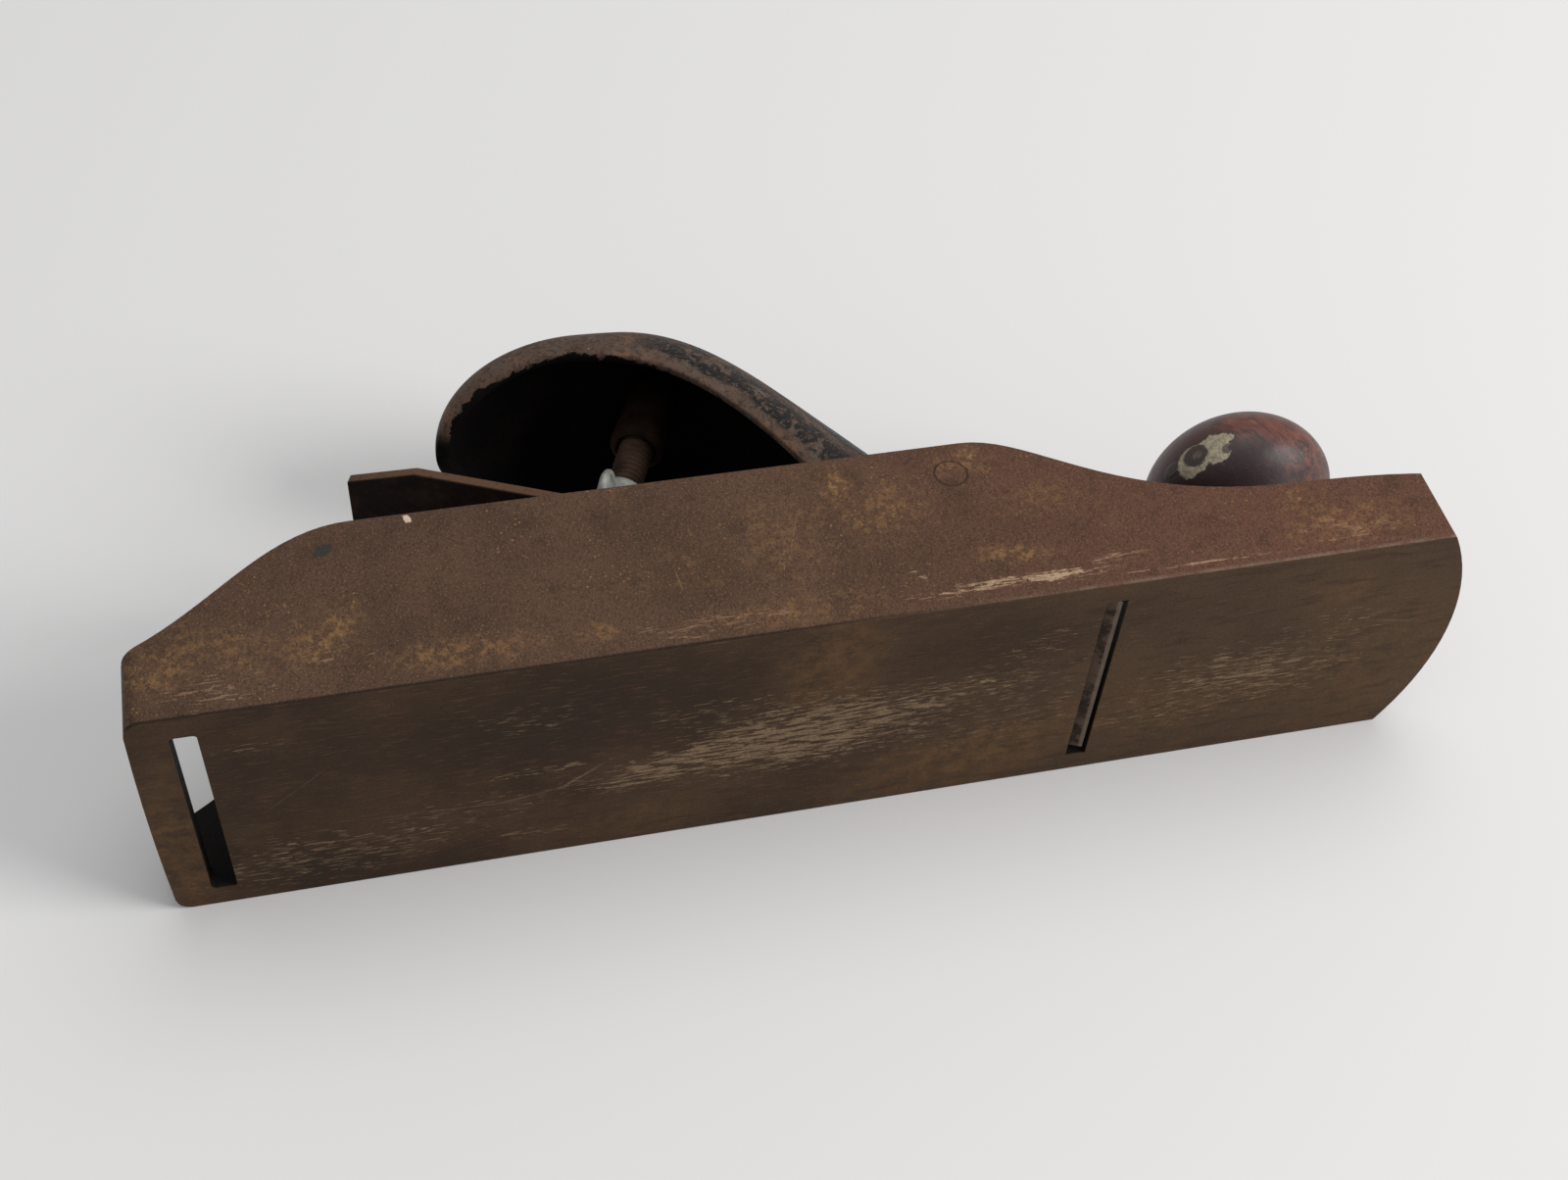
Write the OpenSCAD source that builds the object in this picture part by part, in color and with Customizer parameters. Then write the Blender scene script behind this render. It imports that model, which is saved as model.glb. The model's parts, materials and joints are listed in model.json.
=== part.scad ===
// Low angle iron jack plane with a hollow domed lever cap and a turned front knob.
// X runs from the heel to the toe, Y across the sole and Z up from the sole.
// The modules are drawn with the heel at X = 0, and shifted to the middle at the end.

/* [Body casting] */
// Length over the heel and the round toe
body_l = 276.4; // [240:0.1:340]
// Width of the sole
body_w = 63.5; // [56:0.1:80]
// Thickness of the sole
sole_t = 5.1; // [4:0.1:7]
// Thickness of each cheek
cheek_t = 5.1; // [4:0.1:6.2]
// Height of the cheeks along their flat middle
cheek_h = 43.7; // [40:0.1:52]
// Height of the cheeks at the heel
heel_h = 17; // [12:0.1:24]
// Height of the cheeks behind the round toe
toe_h = 20.4; // [16:0.1:26]
// How far the toe bows out from its corners
toe_bow = 8.2; // [4:0.1:16]
// How far the heel bows out from its corners
heel_bow = 0.6; // [0.4:0.1:4]
// Radius of the heel's corners
heel_r = 3.2; // [2:0.1:8]

/* [Mouth and heel slot] */
// Distance from the heel to the edge of the iron
edge_x = 196; // [180:0.1:205]
// Opening of the mouth behind the edge
mouth_back = 3.4; // [2.5:0.1:6]
// Opening of the mouth in front of the edge
mouth_front = 1.2; // [1:0.1:4]
// Distance from the heel to the slot
slot_x = 8.1; // [7:0.1:20]
// Width of the slot along the sole
slot_w = 5.2; // [4.5:0.1:10]
// Length of the slot across the sole
slot_l = 52.6; // [30:0.1:53]
// Radius of the slot's corners
slot_r = 0.8; // [0.4:0.1:2]

/* [Bed and iron] */
// Angle of the bed to the sole
bed_a = 23.3; // [20:0.1:25]
// Length of the iron
iron_l = 163.2; // [150:0.1:170]
// Width of the iron
iron_w = 50.8; // [44:0.1:51]
// Thickness of the iron
iron_t = 2.4; // [2:0.1:3.5]
// Grinding angle of the bevel, which faces up
bevel_a = 25; // [22:0.5:35]
// Length of the clipped corners at the tail
clip_l = 15; // [8:0.5:24]
// Depth of the clipped corners at the tail
clip_d = 6; // [2:0.5:12]
// Gap that the iron leaves to the right cheek
iron_side_gap = 0.12; // [0.1:0.02:1]
// Length of the bed behind the mouth
ramp_l = 30; // [20:0.5:50]
// Thickness of the cross rib under the clamp screw
rib_t = 11; // [8:0.5:16]

/* [Lever cap] */
// Width of the cap
cap_w = 50; // [44:0.1:51]
// Wall of the hollow dome
cap_wall = 3; // [2.5:0.1:5]
// Distance from the heel to the back of the dome
dome_x = 66; // [60:0.1:75]
// Height of the rim at the back of the dome
dome_z = 88; // [80:0.1:100]
// Height of the crown above the back of the rim
crown_rise = 18.5; // [12:0.5:26]
// Squareness of the dome's sections, where 2 is an ellipse
dome_power = 2.35; // [2:0.05:3]
// Length of the lip that presses on the iron
lip_l = 4.5; // [3:0.1:8]

/* [Pin and clamp screw] */
// Distance from the heel to the cross pin
pin_x = 169; // [160:0.1:175]
// Height of the cross pin
pin_z = 35.5; // [32:0.1:38]
// Diameter of the cross pin
pin_d = 7; // [5:0.1:8]
// Distance from the edge to the screw, along the iron
screw_from_edge = 110.8; // [104:0.1:116]
// Diameter of the clamp screw
screw_d = 8; // [6:0.1:9]
// Diameter of the boss at its root in the dome
boss_d = 12; // [11:0.1:16]
// Diameter of the boss at its mouth
boss_mouth_d = 14; // [13:0.1:18]
// Distance from the iron to the mouth of the boss
boss_z = 37.6; // [34:0.1:42]
// Diameter of the wing nut's hub
hub_d = 13; // [12:0.1:16]
// Height of the hub
hub_h = 16; // [12:0.1:18]
// Reach of each wing from the axis
wing_r = 15.5; // [12:0.1:17]
// Thickness of the wings
wing_t = 4.4; // [3:0.1:6]
// Turn of the wings about the screw
wing_turn = 84; // [0:1:180]
// Diameter of the thrust foot
foot_d = 12; // [10:0.1:16]
// Height of the thrust foot
foot_h = 3.6; // [3:0.1:6]

/* [Front knob] */
// Distance from the heel to the knob
knob_x = 244; // [225:0.1:250]
// Diameter of the knob
knob_d = 43.6; // [34:0.1:50]
// Height of the knob
knob_h = 31; // [26:0.1:40]
// Height of the knob's widest part above its foot
knob_waist = 16.5; // [12:0.1:20]
// Diameter of the knob's foot
knob_foot_d = 27; // [20:0.1:32]
// Height of the casting's boss above the sole's underside
knob_boss_h = 29; // [14:0.1:32]
// Diameter of the stud
stud_d = 6.4; // [5:0.1:8]

/* [Hidden] */
$fn = 96;

// Clearances
bed_gap = 0.05;
lip_gap = 0.1;
foot_gap = 0.1;
run_gap = 0.05;
seat_gap = 0.05;

// Body
inner_w = body_w - 2 * cheek_t;
toe_corner_x = body_l - toe_bow;
half_w = body_w / 2;
function bow_radius(bow) = (half_w * half_w + bow * bow) / (2 * bow);
function bed_z(x) = (edge_x - x) * tan(bed_a);
function iron_top_z(x) = bed_z(x) + iron_t / cos(bed_a);

// Points on a cubic curve from four control points, and on a chain of such curves
function mix4(p, t) = pow(1 - t, 3) * p[0] + 3 * t * pow(1 - t, 2) * p[1]
    + 3 * t * t * (1 - t) * p[2] + pow(t, 3) * p[3];
function curve(p, n, first = 0) = [for (i = [first:n]) mix4(p, i / n)];
function chain(c, t) = let (k = min(floor(t * len(c)), len(c) - 1)) mix4(c[k], t * len(c) - k);

// Cheek outline: an ogee at the heel, a flat top and an ogee down to the toe
ogee_n = 18;
heel_ogee = [[0, heel_h], [18, heel_h + 8], [28, cheek_h], [46, cheek_h]];
toe_ogee = [[edge_x - 23, cheek_h], [edge_x - 7, cheek_h], [edge_x + 3, toe_h + 1.6],
            [edge_x + 42, toe_h + 0.3]];
toe_fall = [[edge_x + 42, toe_h + 0.3], [edge_x + 54, toe_h - 0.2], [toe_corner_x - 6, toe_h - 0.2],
            [body_l, toe_h - 3.6]];

// Lever cap: the crown and the rim in side view, from the back of the dome to the lip
lip_x = edge_x - 7.5;
crown_z = dome_z + crown_rise;
hip_x = pin_x - 58;
nose_z = iron_top_z(lip_x) + 1.6;
crown_curves = [
    [[dome_x, dome_z], [dome_x, dome_z + 12.5], [hip_x - 31, crown_z + 0.3], [hip_x, crown_z]],
    [[hip_x, crown_z], [hip_x + 19, crown_z], [hip_x + 30, pin_z + 51], [pin_x - 14, pin_z + 34]],
    [[pin_x - 14, pin_z + 34], [pin_x + 4, pin_z + 8], [lip_x - 2, nose_z + 14], [lip_x, nose_z]]];
rim_low_x = pin_x - 9;
heel_of_cap_z = iron_top_z(rim_low_x) + 1.2;
rim_curves = [
    [[dome_x, dome_z], [dome_x, dome_z], [hip_x - 26, dome_z + 8], [hip_x - 4, dome_z + 1.5]],
    [[hip_x - 4, dome_z + 1.5], [hip_x + 11, dome_z - 3.5], [hip_x + 22, pin_z + 35],
     [pin_x - 24, pin_z + 8]],
    [[pin_x - 24, pin_z + 8], [rim_low_x - 6, heel_of_cap_z + 10], [rim_low_x - 2, heel_of_cap_z + 1.5],
     [lip_x, iron_top_z(lip_x) + 1.2]]];

// The plan of the cap is a round back that runs into parallel sides
function cap_half(x, back, half) = let (m = hip_x - 12)
    x >= m ? half : half * pow(max(0, 1 - pow((m - x) / (m - back), 1.9)), 1 / 1.9);

// One section: a rounded arch from rim to rim over the crown point
function arch(rim, crown, half, n) = [for (i = [0:n]) let (a = 180 * i / n,
    s = pow(sin(a), 2 / dome_power), c = sign(cos(a)) * pow(abs(cos(a)), 2 / dome_power))
    [rim[0] + (crown[0] - rim[0]) * s, -half * c, rim[1] + (crown[1] - rim[1]) * s]];

// A closed skin over a row of sections with equal counts
module skin(rows) {
    n = len(rows);
    m = len(rows[0]);
    points = [for (r = rows) for (p = r) p];
    side = [for (i = [0:n - 2]) for (j = [0:m - 1]) let (a = i * m + j, b = i * m + (j + 1) % m)
        each [[a, b, a + m], [b, b + m, a + m]]];
    first = [for (j = [1:m - 2]) [0, j + 1, j]];
    last = [for (j = [1:m - 2]) [(n - 1) * m, (n - 1) * m + j, (n - 1) * m + j + 1]];
    polyhedron(points, concat(side, first, last), convexity = 8);
}

// Moves from the drawing frame to the part's own frame
module centred() translate([-body_l / 2, 0, 0]) children();

// The iron's frame: X along the iron towards the edge, Z square to it, zero at the edge
module on_bed() translate([edge_x, 0, 0]) rotate([0, bed_a, 0]) children();

// The clamp screw's frame: Z along the screw, zero on the iron's top face
module on_screw() on_bed() translate([-screw_from_edge, 0, iron_t]) children();

module across(w) rotate([90, 0, 0]) linear_extrude(w, center = true) children();

// Body casting
module end_bows() {
    toe_mid = body_l - bow_radius(toe_bow);
    intersection() {
        union() {
            translate([toe_mid, 0]) circle(r = bow_radius(toe_bow), $fn = 240);
            translate([-1, -half_w - 2]) square([toe_mid + 1, body_w + 4]);
        }
        translate([bow_radius(heel_bow), 0]) circle(r = bow_radius(heel_bow), $fn = 720);
    }
}

// What the round corner takes off the heel
module heel_corner() {
    difference() {
        translate([-1, half_w - heel_r]) square([heel_r + 1 + heel_bow, heel_r + 1]);
        translate([heel_bow + heel_r, half_w - heel_r]) circle(r = heel_r);
    }
}

module cheek_outline() {
    polygon(concat([[0, 0]], curve(heel_ogee, ogee_n), curve(toe_ogee, ogee_n), curve(toe_fall, 8, 1),
        [[body_l, 0]]));
}

module bed_ramp() {
    back = edge_x - mouth_back - ramp_l;
    across(inner_w + 1) polygon([[back, 1], [edge_x - mouth_back, 1],
        [edge_x - mouth_back, bed_z(edge_x - mouth_back) - bed_gap], [back, bed_z(back) - bed_gap]]);
}

module cross_rib() {
    mid = edge_x - screw_from_edge * cos(bed_a);
    low = mid - rib_t / 2;
    high = mid + rib_t / 2;
    foot = 6;
    across(inner_w + 1) polygon([[low - foot, 1], [high + foot, 1], [high + foot, sole_t],
        [high, sole_t + foot], [high, bed_z(high) - bed_gap], [low, bed_z(low) - bed_gap],
        [low, sole_t + foot], [low - foot, sole_t]]);
}

module knob_boss() {
    translate([knob_x, 0, 1]) cylinder(d = knob_foot_d, h = knob_boss_h - 1);
    translate([knob_x, 0, sole_t - 0.5]) cylinder(d1 = knob_foot_d + 9, d2 = knob_foot_d, h = 5);
}

// The mouth: the bed runs down through the sole behind it, and its front wall opens upwards
module mouth_cut() {
    top = sole_t + 1;
    throat_z = sole_t * 0.6;
    back = edge_x - mouth_back;
    front = edge_x + mouth_front;
    across(inner_w) polygon([[back, -1], [front, -1], [front, throat_z], [front + 3, top],
        [edge_x - (top + bed_gap) / tan(bed_a), top], [back, bed_z(back) - bed_gap]]);
}

module slot_cut() {
    corners = [[slot_w, slot_l / 2, 0], [0, slot_l / 2, 90], [0, -slot_l / 2, 180],
        [slot_w, -slot_l / 2, 270]];
    translate([slot_x, 0, -1]) linear_extrude(sole_t + 2) polygon([for (c = corners) for (a = [0:30:90])
        [c[0] + (c[0] > 0 ? -slot_r : slot_r) + slot_r * cos(a + c[2]),
         c[1] + (c[1] > 0 ? -slot_r : slot_r) + slot_r * sin(a + c[2])]]);
}

module body_casting() {
    color("#5b4334") centred() difference() {
        intersection() {
            translate([0, 0, -1]) linear_extrude(cheek_h + 2) end_bows();
            union() {
                translate([0, -half_w, 0]) cube([body_l, body_w, sole_t]);
                for (s = [-1, 1]) translate([0, s * (body_w - cheek_t) / 2, 0])
                    across(cheek_t) cheek_outline();
                bed_ramp();
                cross_rib();
                knob_boss();
            }
        }
        for (s = [0, 1]) mirror([0, s, 0]) translate([0, 0, -1]) linear_extrude(cheek_h) heel_corner();
        mouth_cut();
        slot_cut();
        translate([pin_x, 0, pin_z]) rotate([90, 0, 0]) cylinder(d = pin_d, h = body_w + 2, center = true);
        translate([knob_x, 0, sole_t + 2]) cylinder(d = stud_d, h = knob_boss_h);
    }
}

module fulcrum_pin() {
    color("#4a3a30") centred() translate([pin_x, 0, pin_z]) rotate([90, 0, 0])
        cylinder(d = pin_d, h = body_w, center = true);
}

// Iron
module plane_iron() {
    side = iron_w / 2 - inner_w / 2 + iron_side_gap;
    bevel_l = iron_t / tan(bevel_a);
    color("#54392c") centred() on_bed() translate([0, side, 0]) difference() {
        linear_extrude(iron_t) polygon([[0, -iron_w / 2], [0, iron_w / 2], [clip_l - iron_l, iron_w / 2],
            [-iron_l, iron_w / 2 - clip_d], [-iron_l, clip_d - iron_w / 2], [clip_l - iron_l, -iron_w / 2]]);
        across(iron_w + 2) polygon([[0, 0], [1, 0], [1, iron_t + 1],
            [-bevel_l * (iron_t + 1) / iron_t, iron_t + 1]]);
    }
}

// Lever cap
cap_rows = 40;
cap_arc = 26;

module cap_outside() {
    skin([for (i = [0:cap_rows]) let (t = max(i / cap_rows, 0.004), rim = chain(rim_curves, t),
        crown = chain(crown_curves, t)) arch(rim, crown, cap_half(rim[0], dome_x, cap_w / 2), cap_arc)]);
}

// The hollow: the same sections drawn in by the wall, and run down past the rim
module cap_inside() {
    last = 0.72;
    drop = 12;
    back = dome_x + cap_wall;
    skin([for (i = [0:cap_rows - 8]) let (t = max(i / (cap_rows - 8), 0.01) * last,
        rim = chain(rim_curves, t), crown = chain(crown_curves, t),
        x = max(rim[0] + cap_wall * (1 - t / last), back + 0.02),
        half = cap_half(x, back, cap_w / 2 - cap_wall),
        top = [crown[0] + cap_wall * (1 - t / last) - cap_wall * 0.7 * t / last,
               max(crown[1] - cap_wall * (1 + 0.25 * t / last), rim[1] + 0.2)],
        ring = arch([x, rim[1]], top, half, cap_arc - 6))
        concat(ring, [[x - 4, half, rim[1] - drop], [x - 4, -half, rim[1] - drop]])]);
}

// The straight lip under the nose, the only part of the cap that presses on the iron
module cap_lip() {
    front = (lip_x - edge_x) / cos(bed_a) - 0.6;
    on_bed() across(cap_w - 3) polygon([[front - lip_l, iron_t + lip_gap], [front, iron_t + lip_gap],
        [front + 0.6, iron_t + 1.4], [front - 1, iron_t + 3.6], [front - lip_l - 3, iron_t + 3.6]]);
}

module lever_cap() {
    color("#2f2926") centred() difference() {
        union() {
            difference() {
                cap_outside();
                cap_inside();
            }
            cap_lip();
            intersection() {
                cap_outside();
                on_screw() {
                    translate([0, 0, boss_z]) cylinder(d1 = boss_mouth_d, d2 = boss_d, h = 9);
                    translate([0, 0, boss_z + 9]) cylinder(d = boss_d, h = 30);
                }
            }
        }
        on_screw() cylinder(r = screw_d / 2 + run_gap, h = bore_top);
        on_screw() translate([0, 0, boss_z - 1]) cylinder(d1 = screw_d + 3.6, d2 = screw_d + 2.4, h = 4.5);
        translate([pin_x, 0, pin_z]) rotate([90, 0, 0])
            cylinder(r = pin_d / 2 + run_gap, h = body_w, center = true);
    }
}

// Clamp screw, its wing nut and its foot
hub_z = 10.5;
spigot_d = 4.6;
screw_top = boss_z + 19.5;
bore_top = screw_top + 5.6;

module clamp_screw() {
    color("#5a3d2e") centred() on_screw() {
        translate([0, 0, foot_h + 0.25]) cylinder(d = screw_d, h = screw_top - foot_h - 0.25);
        translate([0, 0, 2]) cylinder(d = spigot_d, h = foot_h);
    }
}

module wing_nut() {
    color("#b9b8b2") centred() on_screw() rotate([0, 0, 180 + wing_turn]) difference() {
        union() {
            translate([0, 0, hub_z]) cylinder(d1 = hub_d, d2 = hub_d - 1.6, h = hub_h);
            for (s = [0, 180]) rotate([0, 0, s]) wing();
        }
        cylinder(d = screw_d, h = hub_z + hub_h + 2);
    }
}

module wing() {
    ear_r = 4.6;
    ear_z = hub_h - 10;
    translate([0, 0, hub_z]) across(wing_t) {
        translate([wing_r - ear_r, ear_z]) circle(r = ear_r, $fn = 48);
        polygon([[screw_d / 2 + 0.8, 0.8], [hub_d / 2 + 2.5, 1.6], [wing_r - 0.6, ear_z - 2],
            [wing_r - 2 * ear_r + 0.8, ear_z + 2.5], [screw_d / 2 + 0.8, ear_z + 1.5]]);
    }
}

module thrust_foot() {
    dome_r = 26;
    sag = dome_r - sqrt(dome_r * dome_r - foot_d * foot_d / 4);
    color("#4d4038") centred() on_screw() translate([0, 0, foot_gap]) difference() {
        intersection() {
            cylinder(d = foot_d, h = foot_h - foot_gap);
            translate([0, 0, dome_r]) sphere(r = dome_r, $fn = 180);
        }
        translate([0, 0, 2 - foot_gap - 0.15]) cylinder(r = spigot_d / 2 + run_gap, h = foot_h);
    }
}

// Front knob
knob_base = knob_boss_h + seat_gap;
nut_head_d = 12.6;
nut_head_h = 2.6;
barrel_d = 9.2;
barrel_l = 13;
nut_sink = 1.2;
nut_z = knob_h - nut_sink - nut_head_h;

module front_knob() {
    r = knob_d / 2;
    f = knob_foot_d / 2;
    color("#4a1f1a") centred() translate([knob_x, 0, knob_base]) difference() {
        rotate_extrude() polygon(concat([[0, 0], [f - 0.6, 0], [f, 0.6], [f, 2.2]],
            curve([[f - 0.8, 3], [f + 0.5, 7], [r, knob_waist - 8], [r, knob_waist]], 14),
            curve([[r, knob_waist], [r, knob_waist + 8], [r * 0.62, knob_h], [r * 0.3, knob_h]], 14, 1),
            [[0, knob_h]]));
        translate([0, 0, -1]) cylinder(d = stud_d + 0.4, h = knob_h + 2);
        translate([0, 0, nut_z - barrel_l - 0.5]) cylinder(d = barrel_d + 0.2, h = knob_h);
        translate([0, 0, nut_z]) cylinder(d = nut_head_d + 0.3, h = knob_h);
    }
}

module knob_stud() {
    color("#5d5148") centred() translate([knob_x, 0, sole_t + 2.2])
        cylinder(d = stud_d, h = knob_base + nut_z + nut_head_h - 1.8 - sole_t - 2.2);
}

module knob_nut() {
    color("#8c7040") centred() translate([knob_x, 0, knob_base + nut_z]) difference() {
        union() {
            translate([0, 0, seat_gap]) cylinder(d = nut_head_d, h = nut_head_h - seat_gap);
            translate([0, 0, -barrel_l]) cylinder(d = barrel_d, h = barrel_l + 1);
        }
        translate([0, 0, -barrel_l - 1]) cylinder(d = stud_d, h = barrel_l + nut_head_h + 2);
        translate([0, 0, nut_head_h]) cube([nut_head_d + 1, 1.4, 2.4], center = true);
    }
}

body_casting();
fulcrum_pin();
plane_iron();
lever_cap();
clamp_screw();
wing_nut();
thrust_foot();
front_knob();
knob_stud();
knob_nut();
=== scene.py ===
import json
from math import cos, pi, radians, sin, tan

import bmesh
import bpy
import numpy as np
from mathutils import Euler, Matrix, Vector


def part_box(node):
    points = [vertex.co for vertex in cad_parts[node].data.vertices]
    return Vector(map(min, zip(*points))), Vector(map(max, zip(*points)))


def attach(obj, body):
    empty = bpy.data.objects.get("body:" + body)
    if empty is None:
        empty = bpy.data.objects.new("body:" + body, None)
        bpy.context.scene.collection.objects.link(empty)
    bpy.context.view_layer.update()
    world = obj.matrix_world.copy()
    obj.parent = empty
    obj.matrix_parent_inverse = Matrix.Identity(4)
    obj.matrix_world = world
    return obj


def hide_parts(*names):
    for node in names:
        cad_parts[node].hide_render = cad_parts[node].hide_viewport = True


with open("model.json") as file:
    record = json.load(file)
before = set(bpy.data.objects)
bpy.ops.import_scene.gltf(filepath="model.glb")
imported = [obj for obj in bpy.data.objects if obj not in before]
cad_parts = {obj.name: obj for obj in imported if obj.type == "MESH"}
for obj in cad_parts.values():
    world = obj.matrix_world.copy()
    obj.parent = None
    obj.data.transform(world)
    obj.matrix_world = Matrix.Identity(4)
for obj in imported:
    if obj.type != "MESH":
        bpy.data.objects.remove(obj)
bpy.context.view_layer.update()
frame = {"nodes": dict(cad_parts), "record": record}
mm = 0.001
bodyLow, bodyHigh = [Vector(corner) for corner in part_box("body_casting")]
heelX = bodyLow.x
halfWidth = bodyHigh.y
joints = {joint["name"]: joint for joint in frame["record"]["behaviour"]["joints"]}
couplings = {coupling["joint"]: coupling for coupling in frame["record"]["behaviour"]["couplings"]}
print("frame loaded, body from", tuple(bodyLow), "to", tuple(bodyHigh))

# The iron on its bed: millimetres and degrees
bed = {"edgeX": 196.0, "angle": 23.3, "ironThick": 2.4}


# Millimetres from the heel, the middle plane and the sole, as metres in the frame
def fromHeel(x, y, z):
    return Vector((heelX + x * mm, y * mm, z * mm))


def addToScene(name, data):
    item = bpy.data.objects.new(name, data)
    bpy.context.scene.collection.objects.link(item)
    return item


# A node's inputs, by name or number, are linked to another node's socket or set to a value
def fill(tree, node, inputs):
    for name, value in inputs.items():
        socket = node.inputs[name]
        if isinstance(value, bpy.types.NodeSocket):
            tree.links.new(value, socket)
        elif socket.type == "RGBA" and len(value) == 3:
            socket.default_value = (*value, 1)
        else:
            socket.default_value = value
    return node


def addNode(tree, kind, inputs, **settings):
    node = tree.nodes.new("ShaderNode" + kind)
    for name, value in settings.items():
        setattr(node, name, value)
    return fill(tree, node, inputs)


# Where the photo was taken from
photoCamera = {
    "place": (-0.08502, -0.34358, -0.23887),
    "turn": (129.047, 12.756, -3.285),  # degrees about X, Y and Z
    "lens": 47.27,  # lens and sensor in millimetres
    "sensor": 36.0,
    "clipStart": 0.01,
}

studio = {
    "floorColour": (0.8, 0.785, 0.77),
    "floorSize": 6.0,
    "floorGap": 0.0002,  # from the left cheek to the floor
    "floorRoughness": 0.6,
    "floorSpecular": 0.2,
    "roomColour": (0.95, 0.97, 1.0),
    "roomStrength": 0.42,
    "backdrop": (0.8, 0.8, 0.8),
    # each lamp: direction from the plane, distance, size and power
    "lamps": {
        "window": ((0.85, -0.6, -0.36), 1.9, 1.0, 23.0),
        "ceiling": ((0.2, -1.0, 0.25), 2.2, 1.8, 14.5),
        "behind": ((-0.3, 1.0, 0.6), 2.0, 1.6, 10.0),
    },
}


def addCamera(s):
    data = bpy.data.cameras.new("photoCamera")
    data.sensor_fit = "HORIZONTAL"
    data.sensor_width, data.lens, data.clip_start = s["sensor"], s["lens"], s["clipStart"]
    camera = addToScene("photoCamera", data)
    camera.rotation_euler = Euler([radians(a) for a in s["turn"]], "XYZ")
    camera.location = s["place"]
    bpy.context.scene.camera = camera


# A soft round lamp at direction times distance, which faces the plane
def addLamp(name, direction, distance, size, power):
    data = bpy.data.lights.new(name, "AREA")
    data.shape = "DISK"
    data.size = size
    data.energy = power
    lamp = addToScene(name, data)
    way = Vector(direction).normalized()
    lamp.location = way * distance
    lamp.rotation_euler = way.to_track_quat("Z", "Y").to_euler()


# The room lights the plane, but the camera sees the backdrop
def addRoom(s):
    world = bpy.data.worlds.new("room")
    bpy.context.scene.world = world
    world.use_nodes = True
    tree = world.node_tree
    tree.nodes.clear()
    light = addNode(tree, "Background", {"Color": s["roomColour"], "Strength": s["roomStrength"]})
    seen = addNode(tree, "Background", {"Color": s["backdrop"]})
    ray = addNode(tree, "LightPath", {}).outputs["Is Camera Ray"]
    pick = addNode(tree, "MixShader", {0: ray, 1: light.outputs[0], 2: seen.outputs[0]})
    addNode(tree, "OutputWorld", {"Surface": pick.outputs[0]})


# The plane lies on its left cheek, so the floor is the upright sheet that touches it.
# It shows only from the plane's side.
def addFloor(s):
    half = s["floorSize"] / 2
    y = halfWidth + s["floorGap"]
    corners = [(-half, y, -half), (half, y, -half), (half, y, half), (-half, y, half)]
    mesh = bpy.data.meshes.new("floor")
    mesh.from_pydata(corners, [], [(0, 1, 2, 3)])
    floor = addToScene("floor", mesh)
    material = bpy.data.materials.new("paleFloor")
    material.use_nodes = True
    tree = material.node_tree
    facts = {"Base Color": s["floorColour"], "Roughness": s["floorRoughness"],
             "Specular IOR Level": s["floorSpecular"]}
    shader = fill(tree, tree.nodes["Principled BSDF"], facts)
    back = addNode(tree, "NewGeometry", {}).outputs["Backfacing"]
    shadow = addNode(tree, "LightPath", {}).outputs["Is Shadow Ray"]
    most = addNode(tree, "Math", {0: back, 1: shadow}, operation="MAXIMUM")
    clear = addNode(tree, "BsdfTransparent", {})
    pick = addNode(tree, "MixShader", {0: most.outputs[0], 1: shader.outputs[0], 2: clear.outputs[0]})
    fill(tree, tree.nodes["Material Output"], {"Surface": pick.outputs[0]})
    mesh.materials.append(material)


addCamera(photoCamera)
for lampName, lampFacts in studio["lamps"].items():
    addLamp(lampName, *lampFacts)
addRoom(studio)
addFloor(studio)
bpy.context.scene.view_settings.view_transform = "Standard"
print("camera, floor and light stand")


samePoint = 0.001 * mm  # points closer than this are made one


# A piece from a skin: points as an n by 3 array, and faces as index arrays of one width each.
# Facts are numbers that every point carries, by name.
def addPiece(name, skin, finishes, facts=()):
    points, faceArrays = skin
    mesh = bpy.data.meshes.new(name)
    mesh.from_pydata(points, [], [face for faces in faceArrays for face in faces.tolist()], shade_flat=False)
    mesh.validate()
    for factName, values in dict(facts).items():
        mesh.attributes.new(factName, "FLOAT", "POINT").data.foreach_set("value", values)
    shape = bmesh.new()
    shape.from_mesh(mesh)
    bmesh.ops.remove_doubles(shape, verts=shape.verts, dist=samePoint)
    bmesh.ops.recalc_face_normals(shape, faces=shape.faces)
    shape.to_mesh(mesh)
    shape.free()
    for finish in finishes:
        mesh.materials.append(finish)
    return addToScene(name, mesh)


# The quads between n rings of m points; closed joins the last ring to the first as well
def gridFaces(n, m, closed):
    i, j = np.meshgrid(np.arange(n if closed else n - 1), np.arange(m), indexing="ij")
    here, after, side = i * m, (i + 1) % n * m, (j + 1) % m
    return np.stack([here + j, here + side, after + side, after + j], -1).reshape(-1, 4)


# Rings of equal count make a skin; each end is closed by a fan to its ring's middle
def ringSkin(rings):
    n, m = rings.shape[:2]
    k = np.arange(m)
    points = np.concatenate([rings.reshape(-1, 3), rings[:1].mean(1), rings[-1:].mean(1)])
    first = np.stack([k, np.full(m, n * m), (k + 1) % m], -1)
    last = np.stack([(n - 1) * m + (k + 1) % m, np.full(m, n * m + 1), (n - 1) * m + k], -1)
    return points, [gridFaces(n, m, False), np.concatenate([first, last])]


# A closed outline carried round a closed path makes a ring without ends
def wrapSkin(grid):
    return grid.reshape(-1, 3), [gridFaces(*grid.shape[:2], True)]


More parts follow.
